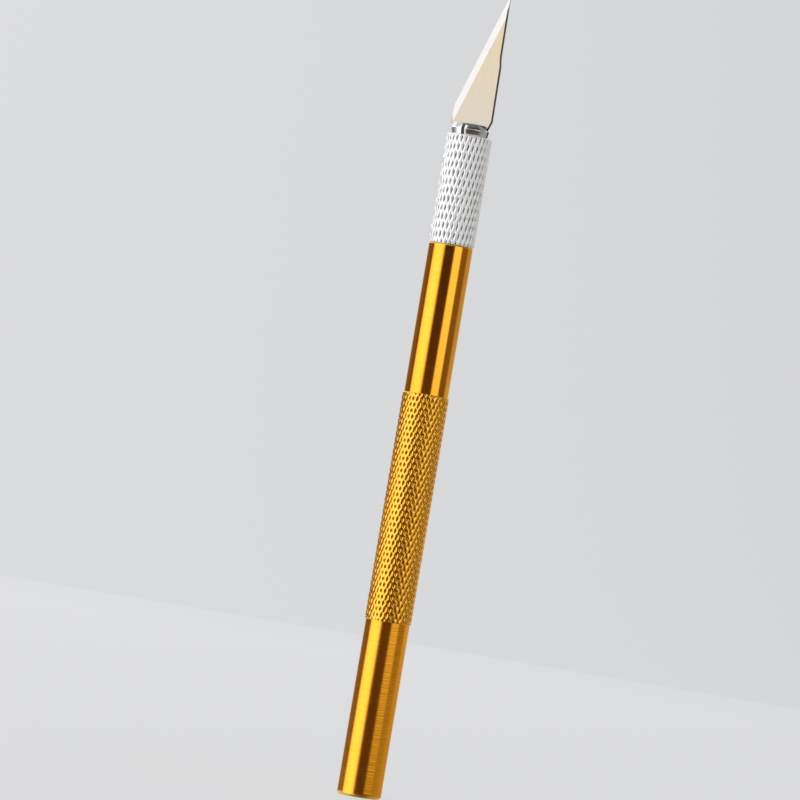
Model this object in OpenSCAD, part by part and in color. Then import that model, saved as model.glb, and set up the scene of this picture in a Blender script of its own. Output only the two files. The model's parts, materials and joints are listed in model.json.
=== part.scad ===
// Hobby craft knife with a knurled handle, a draw-in collet and a fine-point blade.
// The knife stands on its butt: the origin is the centre of the butt face, +Z runs
// along the axis to the blade tip, and the blade lies in the XZ plane, spine towards +X.

/* [Handle] */
// Diameter of the smooth shank
handle_d = 8.0; // [7.6:0.1:9]
// Length of the handle, butt face to front face
handle_l = 98.9; // [90:0.1:120]
// Outer diameter of the knurled grip band
grip_d = 8.34; // [8.34:0.1:9.34]
// Distance from the butt face to the grip band
grip_start = 31.3; // [20:0.1:40]
// Length of the grip band
grip_l = 40.8; // [20:0.1:45]
// Chamfer around the butt face
butt_chamfer = 0.45; // [0.2:0.05:1]

/* [Collar] */
// Outer diameter of the knurled collar
collar_d = 8.2; // [8:0.1:9.4]
// Length of the collar
collar_l = 19.57; // [18:0.01:24]
// Bore of the collar
collar_bore_d = 5.5; // [5.5:0.1:5.8]
// Gap between the collar and the handle's front face
collar_gap = 0.03; // [0.02:0.01:0.1]

/* [Collet] */
// Diameter of the threaded stem and of the jaws' shank
stem_d = 5.0; // [4.6:0.1:5.0]
// Length of stem inside the handle
thread_l = 10.9; // [8:0.1:14]
// Largest diameter of the jaw head
head_d = 6.96; // [6.8:0.02:7.2]
// Diameter of the jaws' front face
nose_d = 6.0; // [5.4:0.1:6.4]
// Length of the cone in front of the head's widest edge
nose_l = 1.0; // [0.6:0.1:1.6]
// How far the head's widest edge stands out of the collar
head_out = 1.1; // [0.8:0.1:1.6]
// Half angle of the closing taper, degrees
taper = 12; // [11:0.5:14]
// Length of the jaws
jaw_l = 17.6; // [17.4:0.1:19]
// Width of the slit across the blade
cross_slit = 0.6; // [0.4:0.05:1]

/* [Blade] */
// Thickness of the blade
blade_t = 0.5; // [0.4:0.05:0.6]
// Length of the blade, tang included
blade_l = 40.5; // [40:0.1:40.8]
// How far the tip stands out of the collet
blade_out = 23.8; // [22:0.1:25]
// Distance from the axis to the spine at the shoulder
spine_x = 3.95; // [3.8:0.05:4.1]
// Distance from the axis to the heel of the cutting edge
heel_x = 3.87; // [3.7:0.05:4.1]
// Width of the tang
tang_w = 4.9; // [4.4:0.1:4.9]
// Width of the ground bevel along the cutting edge
bevel_w = 1.3; // [0.8:0.1:1.6]

/* [Fits] */
// Radial clearance of the stem in the handle and of the taper in the collar
fit = 0.04; // [0.03:0.01:0.08]
// Clearance on each side of the blade between the jaws
blade_fit = 0.025; // [0.02:0.005:0.05]

/* [Hidden] */
$fn = 96;

handle_r = handle_d / 2;
grip_r = grip_d / 2;
collar_r = collar_d / 2;
collar_bore_r = collar_bore_d / 2;
stem_r = stem_d / 2;
head_r = head_d / 2;
nose_r = nose_d / 2;

// Small chamfers on the turned edges
grip_chamfer = 0.12;
front_chamfer = 0.15;
collar_chamfer = 0.25;
stem_chamfer = 0.4;

// How far cutting shapes overrun the solids they cut
over = 1;

// Places along the axis
grip_end = grip_start + grip_l;
collar_z = handle_l + collar_gap;
collar_end = collar_z + collar_l;
head_z = collar_end + head_out;
nose_z = head_z + nose_l;
jaw_z = nose_z - jaw_l;
taper_z = head_z - (head_r - stem_r) / tan(taper);
stem_z = handle_l - thread_l;
tip_z = nose_z + blade_out;

// The socket is drilled deeper than the stem reaches and ends in a drill point
socket_spare = 1.5;
drill_slope = 31;
socket_r = stem_r + fit;
socket_z = stem_z - socket_spare;
drill_point = socket_r * tan(drill_slope);

// The collar's mouth follows the jaws' taper, one clearance outside it
mouth_r = head_r - (head_z - collar_end) * tan(taper) + fit;
mouth_l = (mouth_r - collar_bore_r) / tan(taper);

// Blade outline: lengths along the axis
shoulder_depth = 0.5;
spine_chamfer_l = 1.4;
heel_chamfer_l = 0.3;
heel_l = 3.7;
jog_from_tip = 13;
jog_l = 1.6;

// Blade outline: distances across the axis
shoulder_x = 3.4;
tip_x = 3.45;
spine_lean = 0.12;
jog = 0.25;
tang_corner = 0.8;

// Blade outline: heights of its corners
tang_z = tip_z - blade_l;
shoulder_z = nose_z - shoulder_depth;
spine_chamfer_z = shoulder_z + spine_chamfer_l;
heel_top_z = shoulder_z + heel_l;
jog_z = tip_z - jog_from_tip;

// The slot in the tang
slot_w = 1.6;
slot_l = 11;
slot_start = 2.4;

module handle() {
    color("goldenrod")
    difference() {
        rotate_extrude()
            polygon([
                [0, 0],
                [handle_r - butt_chamfer, 0],
                [handle_r, butt_chamfer],
                [handle_r, grip_start],
                [grip_r, grip_start + grip_chamfer],
                [grip_r, grip_end - grip_chamfer],
                [handle_r, grip_end],
                [handle_r, handle_l - front_chamfer],
                [handle_r - front_chamfer, handle_l],
                [0, handle_l]
            ]);
        translate([0, 0, socket_z])
            cylinder(r = socket_r, h = handle_l - socket_z + over);
        translate([0, 0, socket_z - drill_point])
            cylinder(r1 = 0, r2 = socket_r, h = drill_point);
    }
}

module collar() {
    color("gainsboro")
    difference() {
        rotate_extrude()
            polygon([
                [0, collar_z],
                [collar_r - collar_chamfer, collar_z],
                [collar_r, collar_z + collar_chamfer],
                [collar_r, collar_end - collar_chamfer],
                [collar_r - collar_chamfer, collar_end],
                [0, collar_end]
            ]);
        translate([0, 0, collar_z - over])
            cylinder(r = collar_bore_r, h = collar_l + 2 * over);
        translate([0, 0, collar_end - mouth_l])
            cylinder(r1 = collar_bore_r, r2 = mouth_r + over * tan(taper), h = mouth_l + over);
    }
}

module collet_stem() {
    color("silver")
    rotate_extrude()
        polygon([
            [0, stem_z],
            [stem_r - stem_chamfer, stem_z],
            [stem_r, stem_z + stem_chamfer],
            [stem_r, jaw_z],
            [0, jaw_z]
        ]);
}

// One quarter of the split head; side_x and side_y say which quarter
module collet_jaw(side_x, side_y) {
    reach = head_r + over;
    color("silver")
    intersection() {
        rotate_extrude()
            polygon([
                [0, jaw_z],
                [stem_r, jaw_z],
                [stem_r, taper_z],
                [head_r, head_z],
                [nose_r, nose_z],
                [0, nose_z]
            ]);
        translate([
            side_x * (cross_slit + reach) / 2,
            side_y * (blade_t / 2 + blade_fit + reach / 2),
            jaw_z + jaw_l / 2
        ])
            cube([reach, reach, jaw_l + 2 * over], center = true);
    }
}

// A round-ended slot, from the centre of one end to the centre of the other
module long_slot(width, length) {
    circle(d = width);
    translate([-width / 2, 0])
        square([width, length]);
    translate([0, length])
        circle(d = width);
}

module blade_outline() {
    difference() {
        polygon([
            [-tang_w / 2, tang_z + tang_corner],
            [-tang_w / 2 + tang_corner, tang_z],
            [tang_w / 2 - tang_corner, tang_z],
            [tang_w / 2, tang_z + tang_corner],
            [tang_w / 2, shoulder_z],
            [shoulder_x, shoulder_z],
            [spine_x, spine_chamfer_z],
            [spine_x - spine_lean, jog_z],
            [spine_x - spine_lean - jog, jog_z + jog_l],
            [tip_x, tip_z],
            [-heel_x, heel_top_z],
            [-heel_x, shoulder_z + heel_chamfer_l],
            [-tang_w / 2, shoulder_z]
        ]);
        translate([0, tang_z + slot_start])
            long_slot(slot_w, slot_l);
    }
}

// A prism along the cutting edge, ground to a point on both faces
module edge_grind() {
    edge = [tip_x + heel_x, tip_z - heel_top_z];
    edge_angle = atan2(edge[0], edge[1]);
    reach = 16;
    body = 60;
    translate([-heel_x, 0, heel_top_z])
        rotate([0, edge_angle, 0])
            translate([0, 0, -body])
                linear_extrude(body + norm(edge) + reach)
                    polygon([
                        [0, 0],
                        [bevel_w, -blade_t / 2],
                        [reach, -blade_t / 2],
                        [reach, blade_t / 2],
                        [bevel_w, blade_t / 2]
                    ]);
}

module blade() {
    color("wheat")
    intersection() {
        rotate([90, 0, 0])
            translate([0, 0, -blade_t / 2])
                linear_extrude(blade_t)
                    blade_outline();
        edge_grind();
    }
}

handle();
collar();
collet_stem();
collet_jaw(1, 1);  // collet_jaw_1
collet_jaw(-1, 1);  // collet_jaw_2
collet_jaw(-1, -1);  // collet_jaw_3
collet_jaw(1, -1);  // collet_jaw_4
blade();
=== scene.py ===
"""Looks for the hobby craft knife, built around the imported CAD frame. Lengths are in metres."""
import json
import math

import bmesh
import bpy
import numpy as np
from mathutils import Matrix, Vector
from mathutils.geometry import delaunay_2d_cdt


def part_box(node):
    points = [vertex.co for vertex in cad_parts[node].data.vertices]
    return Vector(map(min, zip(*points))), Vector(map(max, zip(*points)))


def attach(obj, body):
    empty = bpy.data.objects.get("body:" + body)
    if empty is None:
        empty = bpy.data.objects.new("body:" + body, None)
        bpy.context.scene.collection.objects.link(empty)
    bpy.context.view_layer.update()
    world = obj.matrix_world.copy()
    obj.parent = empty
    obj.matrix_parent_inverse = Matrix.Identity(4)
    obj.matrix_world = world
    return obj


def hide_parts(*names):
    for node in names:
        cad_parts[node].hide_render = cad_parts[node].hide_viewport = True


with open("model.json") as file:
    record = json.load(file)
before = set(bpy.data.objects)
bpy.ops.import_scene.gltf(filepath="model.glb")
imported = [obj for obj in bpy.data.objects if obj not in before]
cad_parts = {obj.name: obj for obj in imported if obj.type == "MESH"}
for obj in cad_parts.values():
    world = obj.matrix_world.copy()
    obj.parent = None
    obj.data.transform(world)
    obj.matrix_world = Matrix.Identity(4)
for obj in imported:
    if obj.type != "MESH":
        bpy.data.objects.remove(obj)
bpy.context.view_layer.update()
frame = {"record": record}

MM = 0.001
TURN = 2 * math.pi
rng = np.random.default_rng(20)


# ---------------------------------------------------------------- sizes from the frame

def top(node):
    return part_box(node)[1]


def bottom(node):
    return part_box(node)[0]


SHANK_R = frame["record"]["mounts"][0]["dims"]["r_mm"] * MM
HANDLE_L = top("handle").z
GRIP_R = top("handle").x
COLLAR_R = top("collar").x
COLLAR_START = bottom("collar").z
COLLAR_END = top("collar").z
STEM_R = top("collet_stem").x
STEM_START = bottom("collet_stem").z
JAW_START = bottom("collet_jaw_1").z
NOSE_Z = top("collet_jaw_1").z
BLADE_SLOT = bottom("collet_jaw_1").y
CROSS_SLIT = bottom("collet_jaw_1").x
BLADE_T = top("blade").y - bottom("blade").y
TANG_Z = bottom("blade").z
TIP_Z = top("blade").z
SPINE_X = top("blade").x
HEEL_X = -bottom("blade").x

# Places and sizes that the CAD design states and the frame's boxes can't give
GRIP_START = 31.3 * MM
GRIP_END = 72.1 * MM
BUTT_CHAMFER = 0.45 * MM
FRONT_CHAMFER = 0.15 * MM
COLLAR_CHAMFER = 0.22 * MM
COLLAR_BORE_R = 2.75 * MM
COLLAR_MOUTH_R = 3.286 * MM
COLLAR_MOUTH_L = 2.52 * MM
SOCKET_START = 86.5 * MM
HEAD_R = 3.48 * MM
HEAD_Z = NOSE_Z - 1.0 * MM
NOSE_R = 3.0 * MM
TAPER_Z = HEAD_Z - 4.61 * MM
THREAD_PITCH = 0.8 * MM
DRILL_SLOPE = math.radians(31)
SHOULDER_DEPTH = 0.5 * MM
TIP_X = 3.45 * MM


# ---------------------------------------------------------------- mesh building

SHARP_DEG = 32


class Skin:
    """A closed surface built ring by ring along a turned profile."""

    def __init__(self, count):
        self.count = count
        self.points = []
        self.wear_and_shade = []
        self.faces = []
        self.last = None

    def put(self, x, y, z, wear_and_shade):
        """Stores points and says the number of the first."""
        first = sum(len(p) for p in self.points)
        self.points.append(np.stack([x, y, z], axis=1))
        self.wear_and_shade.append(wear_and_shade)
        return first

    def pole(self, z):
        """Closes the skin with one point on the axis."""
        here = self.put(np.zeros(1), np.zeros(1), np.array([z]), np.zeros(1))
        if self.last is not None:
            start, n = self.last
            self.faces += [(start + i, start + (i + 1) % n, here) for i in range(n)]
        self.last = (here, 1)

    def ring(self, radius, z, wear_and_shade=0.0, count=None, split=None):
        """Adds a ring and joins it to the last. radius, z and wear are numbers or one value per point."""
        n = count or self.count
        angle = np.arange(n) * TURN / n
        radius, z, wear_and_shade = (np.broadcast_to(v, n).astype(float) for v in (radius, z, wear_and_shade))
        here = self.put(radius * np.cos(angle), radius * np.sin(angle), z, wear_and_shade)
        if self.last is not None:
            self.join(self.last, (here, n), split)
        self.last = (here, n)

    def join(self, low, high, split):
        """Joins two rings, each given as its first point and its count. split picks each face's diagonal."""
        (a, n), (b, m) = low, high
        if n == 1:
            self.faces += [(a, b + (i + 1) % m, b + i) for i in range(m)]
        elif n == m:
            for i in range(n):
                j = (i + 1) % n
                if split is None:
                    self.faces.append((a + i, a + j, b + j, b + i))
                elif split[i]:
                    self.faces += [(a + i, a + j, b + j), (a + i, b + j, b + i)]
                else:
                    self.faces += [(a + i, a + j, b + i), (a + j, b + j, b + i)]
        else:
            self.step(a, n, b, m)

    def step(self, a, n, b, m):
        """Joins rings whose counts differ by a whole factor."""
        many, few = max(n, m), min(n, m)
        k = many // few
        for i in range(few):
            if n > m:
                fan = [a + (i * k + s) % n for s in range(k + 1)]
                self.faces += [(fan[s], fan[s + 1], b + i) for s in range(k)]
                self.faces.append((fan[k], b + (i + 1) % m, b + i))
            else:
                fan = [b + (i * k + s) % m for s in range(k + 1)]
                self.faces += [(a + i, fan[s + 1], fan[s]) for s in range(k)]
                self.faces.append((a + i, a + (i + 1) % n, fan[k]))

    def close(self):
        """Joins the last ring to the first, for a tube."""
        self.join(self.last, (0, len(self.points[0])), None)

    def build(self, name, sharp_deg=SHARP_DEG):
        points, wear_and_shade = np.concatenate(self.points), np.concatenate(self.wear_and_shade)
        return make_piece(name, points, self.faces, wear_and_shade, sharp_deg)


def smooth(mesh, sharp_deg):
    mesh.shade_smooth()
    mesh.set_sharp_from_angle(angle=math.radians(sharp_deg))


def make_piece(name, points, faces, wear_and_shade=None, sharp_deg=SHARP_DEG):
    mesh = bpy.data.meshes.new(name)
    mesh.from_pydata([tuple(p) for p in points], [], faces)
    if wear_and_shade is not None:
        # this attribute holds rubbed wear above 0 and painted shade in the pits below 0
        layer = mesh.attributes.new("wear_and_shade", "FLOAT", "POINT")
        layer.data.foreach_set("value", np.asarray(wear_and_shade, dtype=np.float32))
    mesh.validate()
    smooth(mesh, sharp_deg)
    piece = bpy.data.objects.new(name, mesh)
    bpy.context.collection.objects.link(piece)
    return piece


def smooth_step(low, high, x):
    t = np.clip((x - low) / (high - low), 0, 1)
    return t * t * (3 - 2 * t)


def waves(angle, z, count, turns, length):
    """A smooth random field round a cylinder, about -1 to 1: a sum of waves that close on themselves."""
    total = np.zeros(np.broadcast(angle, z).shape)
    for _ in range(count):
        around = rng.integers(0, turns + 1)
        climb = rng.uniform(-1, 1) * TURN * z / length
        total = total + np.sin(around * angle + climb + rng.uniform(0, TURN))
    return total / math.sqrt(count)


class Knurl:
    """A net of two crossing families of raised helical ridges with a lozenge pit in each mesh of the net.

    rise_right and rise_left say how many ridges of the family that climbs to the right, or to the left, pass
    a point per metre of height. Widths are parts of the spacing from one ridge to the next: land is half of a
    ridge's flat top, and floor is how far from the ridge a pit is at full depth. stretch shortens the slope
    beside the ridges that climb to the left, which makes the pits lean to the right. Those ridges are lower
    than the others by saddle times the depth between crossings. uneven is how much the pits' depths vary.
    """

    # how far widths wander, the power that rounds a pit's slopes, and how far crossings stand over the ridges
    RIPPLE = 0.02
    ROUNDING = 1.4
    CROSSING_RISE = 0.02 * MM

    def __init__(self, starts, fine, start, end, row, rise_right, rise_left, depth, land, floor, stretch,
                 saddle, uneven):
        self.depth = depth
        self.around = starts * fine
        self.rows = round((end - start) / row)
        self.z = np.linspace(start, end, self.rows + 1)
        turn = np.arange(self.around) / self.around
        angle, z = turn * TURN, self.z[:, None] - start
        a, b = turn * starts - rise_right * z, turn * starts + rise_left * z
        near_a, near_b = np.abs(a - np.round(a)), np.abs(b - np.round(b))
        self.split = near_a < near_b
        unit = z / (end - start)
        crest = land + self.RIPPLE * waves(angle, unit, 6, 4, 0.4)
        wide = floor + self.RIPPLE * waves(angle, unit, 7, 3, 0.7)
        open_a = np.clip((near_a - crest) / (wide - crest), 0, 1) ** self.ROUNDING
        open_b = np.clip((near_b - crest) / (stretch * wide - crest), 0, 1) ** self.ROUNDING
        hair = 1e-9
        cell_a, cell_b = np.floor(a + hair).astype(int), np.floor(b + hair).astype(int)
        across, along = (cell_a + cell_b) % (2 * starts), cell_b - cell_a
        each = rng.uniform(1 - uneven, 1.0, (2 * starts, along.max() - along.min() + 1))
        self.pit = open_a * (saddle + (1 - saddle) * open_b) * each[across, along - along.min()]
        # painted shade: shade is how dark each pit and the groove along it are coloured, standing for the
        # shade in them
        filled = 1.5 * saddle
        self.shade = open_a * (filled + (1 - filled) * open_b)
        self.crossing = (1 - open_a) * (1 - open_b)

    def radius(self, row, crest_r):
        return crest_r - self.depth * self.pit[row] - self.CROSSING_RISE * (1 - self.crossing[row])

    def wear_and_shade(self, row):
        """Above 0 where a ridge is rubbed, and below 0 the painted shade of a pit, down to -1 at its middle.
        """
        return np.interp(self.shade[row], (0, 0.2, 1), (0.8, 0, -1))


# ---------------------------------------------------------------- pieces

def build_handle():
    grip = Knurl(
        starts=30, fine=12, start=GRIP_START, end=GRIP_END, row=0.19 * MM,
        rise_right=466, rise_left=466,
        depth=0.17 * MM, land=0.07, floor=0.52, stretch=0.8, saddle=0.22, uneven=0.25,
    )
    skin = Skin(grip.around)
    # butt: a shallow dimple where the facing tool stopped, the flat, and a chamfer with softened edges
    dimple, chamfer = 0.03 * MM, BUTT_CHAMFER
    skin.pole(dimple)
    skin.ring(0.28 * MM, dimple, count=grip.around // 12)
    skin.ring(0.4 * MM, 0.0, count=grip.around // 3)
    skin.ring(SHANK_R * 0.5, 0.0)
    skin.ring(SHANK_R - chamfer - 0.06 * MM, 0.0, wear_and_shade=0.2)
    skin.ring(SHANK_R - chamfer, 0.02 * MM, wear_and_shade=0.9)
    skin.ring(SHANK_R - chamfer + 0.05 * MM, 0.07 * MM, wear_and_shade=0.6)
    skin.ring(SHANK_R - 0.06 * MM, chamfer - 0.05 * MM, wear_and_shade=0.6)
    skin.ring(SHANK_R - 0.015 * MM, chamfer + 0.01 * MM, wear_and_shade=1.0)
    skin.ring(SHANK_R, chamfer + 0.09 * MM, wear_and_shade=0.4)
    skin.ring(SHANK_R, chamfer + 0.3 * MM)
    for z in np.linspace(2 * MM, GRIP_START - 0.05 * MM, 6):
        skin.ring(SHANK_R, z)
    # grip: the first and last rows meet the plain shank in a scalloped step
    lobe = 0.12 * MM
    skin.ring(SHANK_R, GRIP_START + lobe * grip.pit[0])
    for j in range(1, grip.rows):
        skin.ring(grip.radius(j, GRIP_R), grip.z[j], grip.wear_and_shade(j), split=grip.split[j - 1])
    skin.ring(SHANK_R, GRIP_END - lobe * grip.pit[-1])
    for z in np.linspace(GRIP_END + 0.05 * MM, HANDLE_L - FRONT_CHAMFER - 0.1 * MM, 5):
        skin.ring(SHANK_R, z)
    # front face, countersink and tapped socket with its drill point
    skin.ring(SHANK_R, HANDLE_L - FRONT_CHAMFER - 0.05 * MM)
    skin.ring(SHANK_R - 0.02 * MM, HANDLE_L - FRONT_CHAMFER + 0.02 * MM, wear_and_shade=1.0)
    skin.ring(SHANK_R - FRONT_CHAMFER, HANDLE_L - 0.01 * MM, wear_and_shade=1.0)
    skin.ring(SHANK_R - FRONT_CHAMFER - 0.05 * MM, HANDLE_L)
    inner = grip.around // 4
    root_r, crest_r = STEM_R + 0.04 * MM, STEM_R - 0.38 * MM
    skin.ring(root_r + 0.15 * MM, HANDLE_L, count=inner)
    skin.ring(root_r, HANDLE_L - 0.15 * MM, count=inner)
    angle = np.arange(inner) * TURN / inner
    thread_start = STEM_START - 0.5 * MM
    thread_end = HANDLE_L - 0.2 * MM
    for z in np.arange(thread_end, thread_start, -THREAD_PITCH / 8):
        height, fade = thread_form(angle, z, thread_start, thread_end)
        # the socket's ridges stand where the stem's thread is low, so they fill its grooves
        radius = root_r - (root_r - crest_r) * (1 - height) * fade
        skin.ring(radius, z, count=inner)
    skin.ring(root_r, thread_start, count=inner)
    skin.ring(root_r, SOCKET_START, count=inner)
    skin.pole(SOCKET_START - root_r * math.tan(DRILL_SLOPE))
    return skin.build("handle_turned")


def thread_form(angle, z, start, end):
    """Height from 0 to 1 of a right-hand thread, and how much of it is left near its ends."""
    steep, root = 2.9, 0.2
    phase = (z / THREAD_PITCH - angle / TURN) % 1.0
    height = np.clip((0.5 - np.abs(phase - 0.5)) * steep - root, 0, 1)
    soft = 0.5 * THREAD_PITCH
    fade = smooth_step(start, start + soft, z) * (1 - smooth_step(end - soft, end, z))
    return height, fade


def build_collar():
    knurl = Knurl(
        starts=29, fine=16, start=COLLAR_START, end=COLLAR_END, row=0.131 * MM,
        rise_right=250, rise_left=387,
        depth=0.3 * MM, land=0.06, floor=0.5, stretch=0.5, saddle=0.05, uneven=0.55,
    )
    skin = Skin(knurl.around)
    edge = COLLAR_CHAMFER
    skin.ring(COLLAR_BORE_R + 0.12 * MM, COLLAR_START)
    skin.ring(COLLAR_R - edge - 0.15 * MM, COLLAR_START, wear_and_shade=0.3)
    skin.ring(COLLAR_R - edge, COLLAR_START + 0.01 * MM, wear_and_shade=0.8)
    # the knurl runs out through both chamfers, which were turned after it
    bare = 0.1 * MM
    for j in range(knurl.rows + 1):
        z = knurl.z[j]
        if not COLLAR_START + bare < z < COLLAR_END - bare:
            continue
        radius = knurl.radius(j, COLLAR_R)
        turned = COLLAR_R - edge + min(z - COLLAR_START, COLLAR_END - z)
        wear_and_shade = np.where(radius > turned, 0.6, knurl.wear_and_shade(j))
        skin.ring(np.minimum(radius, turned), z, wear_and_shade, split=knurl.split[j - 1])
    skin.ring(COLLAR_R - edge, COLLAR_END - 0.01 * MM, wear_and_shade=0.9)
    skin.ring(COLLAR_R - edge - 0.05 * MM, COLLAR_END, wear_and_shade=0.4)
    inner = knurl.around // 2
    skin.ring(COLLAR_MOUTH_R + 0.08 * MM, COLLAR_END, count=inner)
    skin.ring(COLLAR_MOUTH_R, COLLAR_END - 0.06 * MM, wear_and_shade=0.6, count=inner)
    skin.ring(COLLAR_BORE_R, COLLAR_END - COLLAR_MOUTH_L, count=inner)
    skin.ring(COLLAR_BORE_R, COLLAR_END - COLLAR_MOUTH_L - 0.1 * MM, count=inner)
    skin.ring(COLLAR_BORE_R, COLLAR_START + 0.12 * MM, count=inner)
    skin.close()
    return skin.build("collar_knurled")


def build_stem():
    count = 96
    skin = Skin(count)
    angle = np.arange(count) * TURN / count
    root_r, crest_r = STEM_R - 0.46 * MM, STEM_R - 0.02 * MM
    end = HANDLE_L - 0.6 * MM
    shoulder_z = end + 0.3 * MM
    skin.pole(STEM_START)
    skin.ring(root_r - 0.1 * MM, STEM_START)
    skin.ring(root_r, STEM_START + 0.1 * MM)
    for z in np.arange(STEM_START + 0.15 * MM, end, THREAD_PITCH / 12):
        height, fade = thread_form(angle, z, STEM_START + 0.1 * MM, end)
        skin.ring(root_r + (crest_r - root_r) * height * fade, z, wear_and_shade=height * 0.5)
    skin.ring(root_r, end)
    skin.ring(root_r, shoulder_z)
    skin.ring(STEM_R, shoulder_z + STEM_R - root_r)
    skin.ring(STEM_R, JAW_START - 0.05 * MM)
    skin.ring(STEM_R, JAW_START)
    skin.pole(JAW_START)
    return skin.build("collet_stem_threaded", sharp_deg=60)


def build_jaw(number, side_x, side_y):
    """One quarter of the split head, cut from a turned blank by the two saw slits."""
    blank = Skin(160)
    blank.pole(JAW_START)
    blank.ring(STEM_R, JAW_START)
    blank.ring(STEM_R, TAPER_Z)
    soft = 0.05 * MM
    slope = (HEAD_R - STEM_R) / (HEAD_Z - TAPER_Z)
    blank.ring(HEAD_R - 3 * soft * slope, HEAD_Z - 3 * soft, wear_and_shade=0.3)
    blank.ring(HEAD_R - 0.2 * soft, HEAD_Z - soft, wear_and_shade=0.9)
    blank.ring(HEAD_R - 0.3 * soft, HEAD_Z + 0.6 * soft, wear_and_shade=0.9)
    blank.ring(HEAD_R - 1.6 * soft, HEAD_Z + 3 * soft, wear_and_shade=0.3)
    blank.ring(NOSE_R + 0.5 * soft, NOSE_Z - soft, wear_and_shade=0.5)
    blank.ring(NOSE_R - soft, NOSE_Z, wear_and_shade=0.5)
    blank.pole(NOSE_Z)
    piece = blank.build(f"collet_jaw_turned_{number}")
    form = bmesh.new()
    form.from_mesh(piece.data)
    for point, normal in (
        ((side_x * CROSS_SLIT, 0, 0), (side_x, 0, 0)),
        ((0, side_y * BLADE_SLOT, 0), (0, side_y, 0)),
    ):
        every = form.verts[:] + form.edges[:] + form.faces[:]
        cut = bmesh.ops.bisect_plane(
            form, geom=every, plane_co=point, plane_no=normal, clear_inner=True,
        )
        rim = [e for e in cut["geom_cut"] if isinstance(e, bmesh.types.BMEdge)]
        bmesh.ops.edgeloop_fill(form, edges=rim)
    bmesh.ops.recalc_face_normals(form, faces=form.faces[:])
    form.to_mesh(piece.data)
    form.free()
    smooth(piece.data, SHARP_DEG)
    broken = piece.modifiers.new("broken_edges", "BEVEL")
    broken.width = 0.03 * MM
    broken.segments = 2
    broken.limit_method = "ANGLE"
    broken.angle_limit = math.radians(50)
    broken.use_clamp_overlap = True
    broken.harden_normals = False
    return piece


def rounded(corners, sizes):
    """The outline with the numbered corners rounded off by sizes."""
    steps = 4
    outline = []
    for i, corner in enumerate(corners):
        if i not in sizes:
            outline.append(Vector(corner))
            continue
        c, before, after = (Vector(corners[k % len(corners)]) for k in (i, i - 1, i + 1))
        into = c + (before - c).normalized() * sizes[i]
        out = c + (after - c).normalized() * sizes[i]
        for k in range(steps + 1):
            t = k / steps
            outline.append(into * (1 - t) ** 2 + c * 2 * t * (1 - t) + out * t * t)
    return outline


def inset(corners, width, keep):
    """The outline with each side moved inwards by width, except the side after corner keep."""
    lines = []
    for i, corner in enumerate(corners):
        p, q = Vector(corner), Vector(corners[(i + 1) % len(corners)])
        along = (q - p).normalized()
        lines.append((p + Vector((-along.y, along.x)) * (0 if i == keep else width), along))
    moved = []
    for i, (p, u) in enumerate(lines):
        q, v = lines[i - 1]
        moved.append(q + v * ((p - q).cross(u) / v.cross(u)))
    return moved


def slot_loop(low, high, radius):
    """A round-ended slot on the axis, between the centres of its ends."""
    steps = 12
    loop = []
    for centre, first in ((high, 0.0), (low, math.pi)):
        for k in range(steps + 1):
            a = first + math.pi * k / steps
            loop.append(Vector((radius * math.cos(a), centre + radius * math.sin(a))))
    return loop


def gap_to(p, sides):
    """Distance from p to the nearest of the sides."""
    nearest = 1.0
    for a, b in sides:
        t = max(0.0, min(1.0, (p - a).dot(b - a) / (b - a).length_squared))
        nearest = min(nearest, (a + (b - a) * t - p).length)
    return nearest


# Finishes of the blade, by the order of its materials, and a thickness that counts as nothing
FLAT, BEVEL, SIDE = 0, 1, 2
THIN = 1e-7


def inside(p, loop):
    crossings = 0
    for (ax, ay), (bx, by) in zip(loop, loop[1:] + loop[:1]):
        if (ay > p[1]) != (by > p[1]) and p[0] < ax + (p[1] - ay) / (by - ay) * (bx - ax):
            crossings += 1
    return crossings % 2 == 1


def blade_corners(heel_z):
    """The blade's corners, from the tang's end round by the spine, the tip and the heel."""
    tang, shoulder_x = 2.45 * MM, 3.4 * MM
    shoulder_z = NOSE_Z - SHOULDER_DEPTH
    jog_z, jog_l = TIP_Z - 13 * MM, 1.6 * MM
    spine_lean, jog = 0.12 * MM, 0.25 * MM
    return [
        (-tang, TANG_Z), (tang, TANG_Z), (tang, shoulder_z), (shoulder_x, shoulder_z),
        (SPINE_X, shoulder_z + 1.4 * MM), (SPINE_X - spine_lean, jog_z),
        (SPINE_X - spine_lean - jog, jog_z + jog_l), (TIP_X, TIP_Z), (-HEEL_X, heel_z),
        (-HEEL_X, shoulder_z + 0.3 * MM), (-tang, shoulder_z),
    ]


def two_sided(name, flat, thick, finished):
    """A plate on both sides of the XZ plane. finished gives each triangle with its material's number."""
    form = bmesh.new()
    near = [form.verts.new((p.x, -t, p.y)) for p, t in zip(flat, thick)]
    far = [form.verts.new((p.x, t, p.y)) if t > THIN else other for p, t, other in zip(flat, thick, near)]
    used = {}
    for triangle, finish in finished:
        for sheet in (near, far):
            form.faces.new([sheet[i] for i in triangle]).material_index = finish
        for k in range(3):
            pair = frozenset((triangle[k], triangle[k - 1]))
            used[pair] = used.get(pair, 0) + 1
    for pair, count in used.items():
        i, j = sorted(pair)
        rim = list(dict.fromkeys((near[i], near[j], far[j], far[i])))
        if count == 1 and len(rim) > 2:
            form.faces.new(rim).material_index = SIDE
    loose = [v for v in form.verts if not v.link_faces]
    bmesh.ops.delete(form, geom=loose, context="VERTS")
    bmesh.ops.recalc_face_normals(form, faces=form.faces[:])
    mesh = bpy.data.meshes.new(name)
    form.to_mesh(mesh)
    form.free()
    piece = bpy.data.objects.new(name, mesh)
    bpy.context.collection.objects.link(piece)
    return piece


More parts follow.
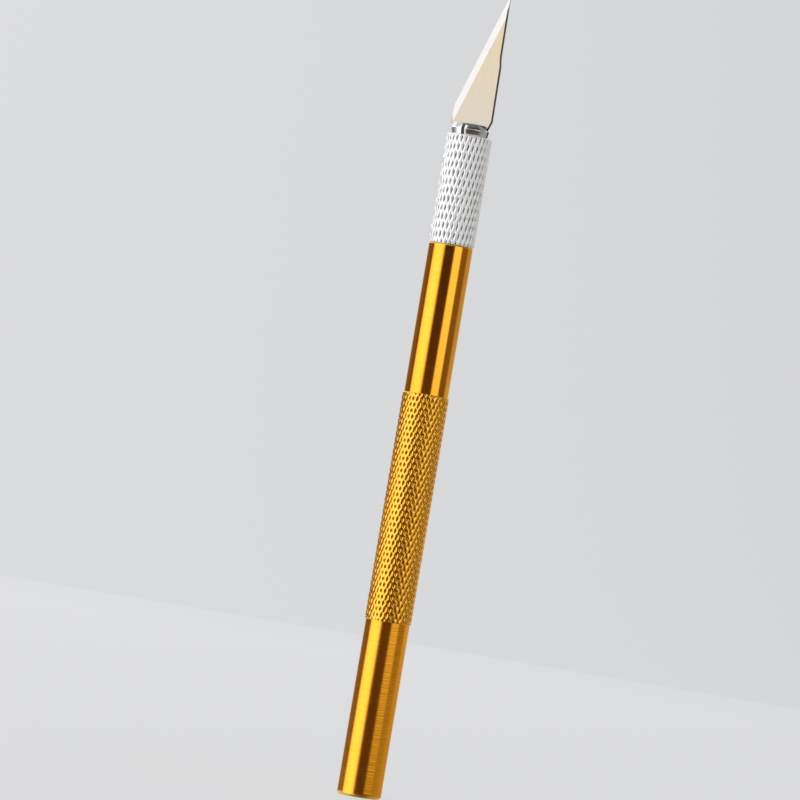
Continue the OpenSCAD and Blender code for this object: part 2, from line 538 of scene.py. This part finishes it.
def build_blade():
    """Stamped blank with rolled edges, a two-sided bevel, a steeper honed edge and a slotted tang."""
    half_t = BLADE_T / 2
    heel_z = NOSE_Z - SHOULDER_DEPTH + 3.7 * MM
    corners = blade_corners(heel_z)
    # by corner number: the cutting edge follows the tip, and the tang, spine, jog and heel are rounded
    cutting = 7
    sizes = {0: 0.8 * MM, 1: 0.8 * MM, 4: 0.2 * MM, 5: 0.4 * MM, 6: 0.4 * MM, 9: 0.15 * MM}
    outline = rounded(corners, sizes)
    roll, drop = 0.2 * MM, 0.1 * MM
    flat_rim = rounded(inset(corners, roll, cutting), sizes)
    slot_low, slot_high, slot_r = TANG_Z + 2.4 * MM, TANG_Z + 13.4 * MM, 0.8 * MM
    hole = slot_loop(slot_low, slot_high, slot_r)
    hole_rim = slot_loop(slot_low, slot_high, slot_r + roll / 2)

    # bands beside the cutting edge, by distance: honed, then ground, which ends sooner on the rolled rim
    heel = Vector((-HEEL_X, heel_z))
    edge = (Vector((TIP_X, TIP_Z)) - heel).normalized()
    inward = Vector((edge.y, -edge.x))
    honed, ground, honed_t = 0.14 * MM, 1.3 * MM, 0.045 * MM
    meets_roll = honed + (ground - honed) * (half_t - drop - honed_t) / (half_t - honed_t)
    points, lines = [], []
    for loop in (outline, flat_rim, hole, hole_rim):
        first = len(points)
        points += loop
        lines += [(first + i, first + (i + 1) % len(loop)) for i in range(len(loop))]
    past_heel, past_tip = 8 * MM, 26 * MM
    for depth in (honed, meets_roll, ground):
        first = len(points)
        start = heel + inward * depth
        points += [start - edge * past_heel, start + edge * past_tip]
        lines.append((first, first + 1))
    flat, _, triangles = delaunay_2d_cdt(points, lines, [], 0, 1e-8, False)[:3]

    def from_edge(p):
        return (p - heel).dot(inward)

    sides = list(zip(outline, outline[1:] + outline[:1]))
    not_ground = [(p, q) for p, q in sides if abs(from_edge(p)) + abs(from_edge(q)) > THIN]
    hole_sides = list(zip(hole, hole[1:] + hole[:1]))

    def half_thickness(p):
        depth = from_edge(p)
        to_side, to_hole = gap_to(p, not_ground), gap_to(p, hole_sides)
        rolled = half_t - drop * max(0.0, 1 - to_side / roll, 1 - 2 * to_hole / roll)
        if depth <= honed:
            return honed_t * max(depth, 0.0) / honed
        return min(rolled, honed_t + (half_t - honed_t) * min((depth - honed) / (ground - honed), 1))

    thick = [half_thickness(p) for p in flat]
    finished = []
    for triangle in triangles:
        middle = sum((flat[i] for i in triangle), Vector((0, 0))) / 3
        if not inside(middle, outline) or inside(middle, hole) or max(thick[i] for i in triangle) < THIN:
            continue
        rolled = gap_to(middle, not_ground) < roll * 0.99 or gap_to(middle, hole_sides) < roll * 0.49
        if from_edge(middle) < (meets_roll if rolled else ground):
            finish = BEVEL
        else:
            # the rolled rim beside the spine takes the dark side finish, painted shade along the spine
            finish = SIDE if rolled and middle.x > 0 else FLAT
        finished.append((triangle, finish))
    return two_sided("blade_ground", flat, thick, finished)


# ---------------------------------------------------------------- materials

class Shader:
    """A Principled material with short calls for adding and joining nodes."""

    def __init__(self, name, **constants):
        self.material = bpy.data.materials.new(name)
        self.material.use_nodes = True
        self.tree = self.material.node_tree
        self.surface = self.tree.nodes["Principled BSDF"]
        for socket, value in constants.items():
            self.surface.inputs[socket.replace("_", " ")].default_value = value
        self.place = self.node("ShaderNodeTexCoord").outputs["Object"]

    def node(self, kind, inputs=(), **settings):
        made = self.tree.nodes.new(kind)
        for key, value in settings.items():
            setattr(made, key, value)
        for socket, value in dict(inputs).items():
            if isinstance(value, bpy.types.NodeSocket):
                self.tree.links.new(value, made.inputs[socket])
            else:
                made.inputs[socket].default_value = value
        return made

    def noise(self, stretch, detail, offset=0.0):
        """Noise whose grain is stretch = (per metre in x, y, z)."""
        moved = self.node("ShaderNodeMapping", {
            "Vector": self.place, "Scale": stretch, "Location": (offset, offset, offset),
        })
        made = self.node("ShaderNodeTexNoise", {
            "Vector": moved.outputs[0], "Scale": 1.0, "Detail": detail, "Roughness": 0.5,
        })
        return made.outputs["Fac"]

    def remap(self, value, low, high, to_low, to_high):
        made = self.node("ShaderNodeMapRange", {
            "Value": value, "From Min": low, "From Max": high, "To Min": to_low, "To Max": to_high,
        })
        return made.outputs["Result"]

    def calculate(self, operation, *values):
        return self.node("ShaderNodeMath", enumerate(values), operation=operation).outputs[0]

    def blend(self, factor, first, second):
        made = self.node("ShaderNodeMix", data_type="RGBA")
        self.tree.links.new(factor, made.inputs["Factor"])
        for name, value in (("A", first), ("B", second)):
            socket = next(s for s in made.inputs if s.name == name and s.type == "RGBA")
            if isinstance(value, bpy.types.NodeSocket):
                self.tree.links.new(value, socket)
            else:
                socket.default_value = (*value, 1.0)
        return next(s for s in made.outputs if s.type == "RGBA")

    def wear_and_shade(self):
        return self.node("ShaderNodeAttribute", attribute_name="wear_and_shade").outputs["Fac"]

    def height(self):
        return self.node("ShaderNodeSeparateXYZ", {"Vector": self.place}).outputs["Z"]

    def set(self, socket, value):
        self.tree.links.new(value, self.surface.inputs[socket])

    def bump(self, height, distance, strength, normal=None):
        inputs = {"Height": height, "Distance": distance, "Strength": strength}
        if normal is not None:
            inputs["Normal"] = normal
        return self.node("ShaderNodeBump", inputs).outputs["Normal"]


def gold_anodised():
    """Dyed, sealed aluminium: bright gold, faint turning rings, paler where rubbed, with the crests' paler
    colour partly painted highlight, and brown painted shade in the pits.
    """
    s = Shader("gold_anodised", Metallic=1.0)
    rings = s.noise((150, 150, 5200), detail=3)
    cloud = s.noise((180, 180, 60), detail=2, offset=3.0)
    rear = s.remap(s.height(), GRIP_START - 0.8 * MM, GRIP_START + 0.2 * MM, 1.0, 0.0)
    deep = s.blend(s.remap(rings, 0.35, 0.65, 0.0, 1.0), (0.91, 0.425, 0.038), (0.97, 0.47, 0.05))
    tone = s.blend(s.remap(cloud, 0.3, 0.7, 0.0, 0.35), deep, (0.93, 0.42, 0.03))
    # paler on rubbed crests and edges: real wear, and on the crests partly a painted highlight
    worn_and_highlight = s.blend(s.remap(s.wear_and_shade(), 0.0, 0.7, 0.0, 0.6), tone, (0.87, 0.57, 0.1))
    # painted shade: the pits are coloured dark brown for the shade in them
    s.set("Base Color", s.blend(s.remap(s.wear_and_shade(), -0.65, 0.0, 0.9, 0.0), worn_and_highlight, (0.36, 0.13, 0.006)))
    fine = s.remap(s.noise((400, 400, 2600), detail=4, offset=7.0), 0.3, 0.7, 0.08, 0.13)
    coarse = s.calculate("MULTIPLY_ADD", rear, 0.05, fine)
    rubbed = s.calculate("ADD", s.remap(s.wear_and_shade(), 0.0, 0.8, 0.0, 0.14), coarse)
    s.set("Roughness", s.calculate("ADD", s.remap(s.wear_and_shade(), -0.8, 0.0, 0.35, 0.0), rubbed))
    feed = s.noise((90, 90, 2900), detail=2, offset=5.0)
    s.set("Normal", s.bump(feed, 0.012 * MM, rear, s.bump(rings, 0.004 * MM, 0.12)))
    return s.material


def bare_aluminium():
    """Bright natural aluminium with burnished crests and duller pits, which painted shade makes dark."""
    s = Shader("bare_aluminium", Metallic=0.6)
    grain = s.noise((2500, 2500, 2500), detail=4)
    tone = s.blend(s.remap(grain, 0.3, 0.7, 0.0, 1.0), (0.9, 0.915, 0.93), (0.97, 0.98, 0.99))
    # painted shade: the pits are coloured near black for the shade in them
    s.set("Base Color", s.blend(s.remap(s.wear_and_shade(), -0.8, -0.32, 0.95, 0.0), tone, (0.06, 0.062, 0.066)))
    s.set("Roughness", s.remap(s.wear_and_shade(), -0.6, 0.8, 0.5, 0.38))
    s.set("Normal", s.bump(grain, 0.004 * MM, 0.4))
    return s.material


def collet_metal():
    """Fine-turned aluminium."""
    s = Shader("collet_metal", Metallic=1.0)
    rings = s.noise((120, 120, 9000), detail=3)
    tone = s.remap(rings, 0.35, 0.65, 0.0, 1.0)
    s.set("Base Color", s.blend(tone, (0.62, 0.63, 0.645), (0.78, 0.785, 0.79)))
    s.set("Roughness", s.remap(rings, 0.3, 0.7, 0.14, 0.24))
    s.set("Normal", s.bump(rings, 0.003 * MM, 0.5))
    return s.material


def blade_flat():
    """Rolled blade strip: steel whose warm tone is a painted reflection of warm light, with faint lengthwise
    lines, paler near the collet.
    """
    s = Shader("blade_flat", Metallic=1.0)
    lines = s.noise((6500, 6500, 160), detail=3)
    cloud = s.noise((260, 260, 180), detail=3, offset=2.0)
    # painted reflection: the warm tan colours stand for the warm light the flat mirrors
    tone = s.blend(s.remap(lines, 0.35, 0.65, 0.0, 1.0), (0.44, 0.385, 0.30), (0.475, 0.42, 0.335))
    hued = s.blend(s.remap(cloud, 0.35, 0.65, 0.0, 0.7), tone, (0.53, 0.435, 0.29))
    paler = s.remap(s.height(), 123 * MM, 130 * MM, 0.8, 0.0)
    s.set("Base Color", s.blend(paler, hued, (0.455, 0.405, 0.345)))
    s.set("Roughness", s.remap(cloud, 0.3, 0.7, 0.2, 0.28))
    s.set("Normal", s.bump(lines, 0.0015 * MM, 0.5))
    return s.material


def blade_bevel():
    """Freshly ground steel: paler, with fine marks square to the edge."""
    s = Shader("blade_bevel", Metallic=1.0)
    edge_lean = math.radians(20)
    turned = s.node("ShaderNodeMapping", {"Vector": s.place, "Rotation": (0.0, -edge_lean, 0.0)})
    s.place = turned.outputs[0]
    marks = s.noise((300, 300, 9000), detail=3)
    tone = s.remap(marks, 0.3, 0.7, 0.0, 1.0)
    s.set("Base Color", s.blend(tone, (0.53, 0.515, 0.495), (0.6, 0.59, 0.575)))
    s.set("Roughness", s.remap(marks, 0.3, 0.7, 0.22, 0.32))
    s.set("Normal", s.bump(marks, 0.002 * MM, 0.5))
    return s.material


def blade_side():
    """Sheared strip edge and the rolled rim beside the spine, rougher than the flats, their near-black colour
    painted shade.
    """
    s = Shader("blade_side", Metallic=1.0)
    grain = s.noise((900, 9000, 900), detail=3)
    tone = s.remap(grain, 0.3, 0.7, 0.0, 1.0)
    # painted shade: near-black colour for the dark line along the spine
    s.set("Base Color", s.blend(tone, (0.1, 0.095, 0.09), (0.17, 0.16, 0.15)))
    s.set("Roughness", s.remap(grain, 0.3, 0.7, 0.3, 0.42))
    return s.material


# ---------------------------------------------------------------- stage

PHOTO_AZIMUTH = 24.0


def compass(azimuth, distance, z):
    a = math.radians(azimuth)
    return Vector((distance * math.sin(a), -distance * math.cos(a), z))


def picture_right():
    """The level direction that points to the right in the picture, before the camera leans."""
    a = math.radians(PHOTO_AZIMUTH)
    return Vector((math.cos(a), math.sin(a), 0))


def build_camera():
    """A long lens near the floor, leaning so that the upright knife leans in the picture."""
    distance, height = 1.062, 0.048
    aim_z, aim_left = 0.0704, 0.00439
    lean = math.radians(9.54)
    place = compass(PHOTO_AZIMUTH, distance, height)
    level_right = picture_right()
    back = (place - (Vector((0, 0, aim_z)) - level_right * aim_left)).normalized()
    level_up = back.cross(level_right).normalized()
    level_right = level_up.cross(back)
    right = level_right * math.cos(lean) + level_up * math.sin(lean)
    up = level_up * math.cos(lean) - level_right * math.sin(lean)
    data = bpy.data.cameras.new("camera")
    data.sensor_width = 36
    data.lens = 270
    data.clip_start = 0.05
    data.clip_end = 20
    camera = bpy.data.objects.new("camera", data)
    turn = Matrix((right, up, back)).transposed()
    camera.matrix_world = Matrix.Translation(place) @ turn.to_4x4()
    bpy.context.collection.objects.link(camera)
    bpy.context.scene.camera = camera


def build_bowl():
    """A pale floor that sweeps up into walls all round, so that no view has a horizon."""
    skin = Skin(96)
    flat, sweep, steps, ease = 1.15, 3.0, 32, 1.5
    skin.pole(0.0)
    for radius in (0.02, 0.08, 0.3, 0.7, flat):
        skin.ring(radius, 0.0)
    for k in range(1, steps + 1):
        a = math.radians(90 * (k / steps) ** ease)
        skin.ring(flat + sweep * math.sin(a), sweep * (1 - math.cos(a)))
    bowl = skin.build("studio_floor")
    s = Shader("studio_paper", Roughness=0.9)
    paper = s.noise((900, 900, 900), detail=3)
    s.set("Base Color", s.blend(paper, (0.135, 0.136, 0.138), (0.145, 0.146, 0.148)))
    s.surface.inputs["Emission Color"].default_value = (0.978, 0.984, 1.0, 1)
    # the paper glows a little brighter on the left of the picture, painted light falling from the left, and a
    # little brighter further from the knife
    inputs = {0: s.place, 1: picture_right()}
    across = s.node("ShaderNodeVectorMath", inputs, operation="DOT_PRODUCT").outputs["Value"]
    away = s.node("ShaderNodeVectorMath", {0: s.place}, operation="LENGTH").outputs["Value"]
    left_glow = s.remap(across, -0.5, 0.5, 0.64, 0.514)
    far_glow = s.remap(away, 0.0, 1.2, 0.965, 1.0)
    s.set("Emission Strength", s.calculate("MULTIPLY", left_glow, far_glow))
    s.material.cycles.emission_sampling = "NONE"
    bowl.data.materials.append(s.material)
    bowl.visible_glossy = False
    bowl.visible_shadow = False


def grey(level):
    return (level, level, level)


BROWN = (0.235, 0.152, 0.1)
UMBER = (0.17, 0.11, 0.07)
DARK = (0.072, 0.038, 0.034)
TAN = (0.48, 0.445, 0.41)
WARM = (0.17, 0.085, 0.05)
CREAM = (1.05, 0.95, 0.75)
DULL = (0.54, 0.45, 0.21)
AMBER = (0.5, 0.4, 0.2)
BLACK = grey(0.05)

# What metal mirrors. Each list is one height of the ring, and its stops are an azimuth, which counts from
# the camera's side, and a colour. MAIN has softboxes left and right with a dark gap between them in front.
# Further round it is dark on the left and brown and tan on the right, and pale behind. The handle's rear and
# grip mirror REAR and GRIP, and its front and the collar mirror MAIN. MIDDLE and LOW are for what faces down,
# and UPPER and HIGH for what faces up.
SOFTBOX = [(-90, grey(1.35)), (-70, grey(1.7)), (-52, grey(1.75)), (-38, grey(1.5))]
LEFT = [
    (-180, grey(0.85)), (-154, grey(0.85)), (-147, (0.22, 0.2, 0.2)), (-97, (0.18, 0.105, 0.06)),
] + SOFTBOX
BEHIND = [(154, grey(0.85)), (180, grey(0.85))]
MAIN = LEFT + [
    (-25, DARK), (5, DARK), (19, (0.09, 0.053, 0.034)), (26, grey(1.25)), (58, grey(1.3)),
    (66, BROWN), (98, BROWN), (108, TAN), (147, TAN),
] + BEHIND
GRIP = LEFT + [
    (-25, WARM), (19, WARM), (26, CREAM), (58, CREAM),
    (66, UMBER), (98, UMBER), (112, grey(0.75)), (147, grey(0.75)),
] + BEHIND
REAR = LEFT + [
    (-25, DARK), (5, DARK), (19, (0.1, 0.06, 0.034)), (28, DULL), (56, DULL),
    (70, (0.45, 0.34, 0.14)), (98, (0.48, 0.37, 0.16)), (110, AMBER), (147, AMBER),
] + BEHIND
UPPER = [
    (-180, grey(1.6)), (-97, grey(1.9)), (-70, grey(1.9)), (-60, grey(1.75)), (-36, grey(1.75)),
    (-25, grey(1.5)), (19, grey(1.3)), (58, grey(1.1)),
    (66, grey(0.45)), (98, grey(0.45)), (108, grey(0.8)), (180, grey(1.2)),
]
LOW_LEFT = [(-180, grey(0.8)), (-97, grey(0.7))] + SOFTBOX
LOW_RIGHT = [(75, grey(0.4)), (147, grey(0.5)), (180, grey(0.8))]
LOW = LOW_LEFT + [(-25, BLACK), (50, BLACK)] + LOW_RIGHT
MIDDLE = LOW_LEFT + [(-25, WARM), (50, WARM)] + LOW_RIGHT
HIGH = [(-180, grey(0.8)), (-97, grey(0.8))] + SOFTBOX + [
    (-30, grey(0.07)), (70, grey(0.07)), (95, grey(0.35)), (147, grey(0.4)), (180, grey(0.8)),
]
SURROUND = [
    (-3.0, LOW), (-0.42, LOW), (-0.34, MIDDLE), (-0.12, MIDDLE), (-0.07, REAR), (0.0, REAR),
    (0.03, GRIP), (0.085, GRIP), (0.11, MAIN), (0.38, MAIN), (0.45, UPPER), (0.7, UPPER),
    (1.0, HIGH), (3.0, HIGH),
]


def build_surround():
    """A ring of cards round the knife that is seen only in reflections."""
    radius, steps = 1.3, 240
    points, faces, colours = [], [], []
    for k in range(steps):
        azimuth = -180 + 360 * k / steps
        for height, stops in SURROUND:
            points.append(compass(PHOTO_AZIMUTH + azimuth, radius, height))
            at, colour = [stop[0] for stop in stops], np.array([stop[1] for stop in stops])
            colours.append([*(np.interp(azimuth, at, channel) for channel in colour.T), 1.0])
    n = len(SURROUND)
    for k in range(steps):
        a, b = k * n, (k + 1) % steps * n
        faces += [(a + r, b + r, b + r + 1, a + r + 1) for r in range(n - 1)]
    ring = make_piece("studio_surround", points, faces)
    layer = ring.data.attributes.new("glow", "FLOAT_COLOR", "POINT")
    layer.data.foreach_set("color", np.array(colours, dtype=np.float32).ravel())
    material = bpy.data.materials.new("studio_surround")
    material.use_nodes = True
    material.cycles.emission_sampling = "NONE"
    tree = material.node_tree
    tree.nodes.clear()
    colour = tree.nodes.new("ShaderNodeAttribute")
    colour.attribute_name = "glow"
    glow = tree.nodes.new("ShaderNodeEmission")
    tree.links.new(colour.outputs["Color"], glow.inputs["Color"])
    out = tree.nodes.new("ShaderNodeOutputMaterial")
    tree.links.new(glow.outputs[0], out.inputs["Surface"])
    ring.data.materials.append(material)
    ring.visible_camera = False
    ring.visible_diffuse = False
    ring.visible_shadow = False


def build_softbox(name, azimuth, elevation, strength):
    """A broad far light for the floor and matt metal; the surround stands for it in reflections."""
    data = bpy.data.lights.new(name, "SUN")
    data.angle = math.radians(50)
    data.energy = strength
    light = bpy.data.objects.new(name, data)
    e = math.radians(elevation)
    towards = compass(azimuth, math.cos(e), math.sin(e))
    light.matrix_world = towards.to_track_quat("Z", "Y").to_matrix().to_4x4()
    light.visible_camera = False
    light.visible_glossy = False
    bpy.context.collection.objects.link(light)


def build_studio():
    build_bowl()
    build_surround()
    build_softbox("softbox_left", PHOTO_AZIMUTH - 62, 30, 1.0)
    build_softbox("softbox_right", PHOTO_AZIMUTH + 45, 30, 0.3)
    build_softbox("softbox_top", PHOTO_AZIMUTH, 85, 0.5)
    world = bpy.data.worlds.new("studio")
    world.use_nodes = True
    world.node_tree.nodes["Background"].inputs["Color"].default_value = (0.2, 0.2, 0.2, 1)
    bpy.context.scene.world = world
    bpy.context.scene.view_settings.view_transform = "Standard"


# ---------------------------------------------------------------- assembly

build_camera()
build_studio()

gold = gold_anodised()
aluminium = bare_aluminium()
turned = collet_metal()

handle = build_handle()
handle.data.materials.append(gold)
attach(handle, "handle")
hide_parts("handle")

collar = build_collar()
collar.data.materials.append(aluminium)
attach(collar, "collar")
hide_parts("collar")

stem = build_stem()
stem.data.materials.append(turned)
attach(stem, "collet")
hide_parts("collet_stem")

for number, (side_x, side_y) in enumerate(((1, 1), (-1, 1), (-1, -1), (1, -1)), start=1):
    jaw = build_jaw(number, side_x, side_y)
    jaw.data.materials.append(turned)
    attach(jaw, f"jaw_{number}")
    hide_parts(f"collet_jaw_{number}")

blade = build_blade()
for material in (blade_flat(), blade_bevel(), blade_side()):
    blade.data.materials.append(material)
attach(blade, "blade")
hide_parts("blade")
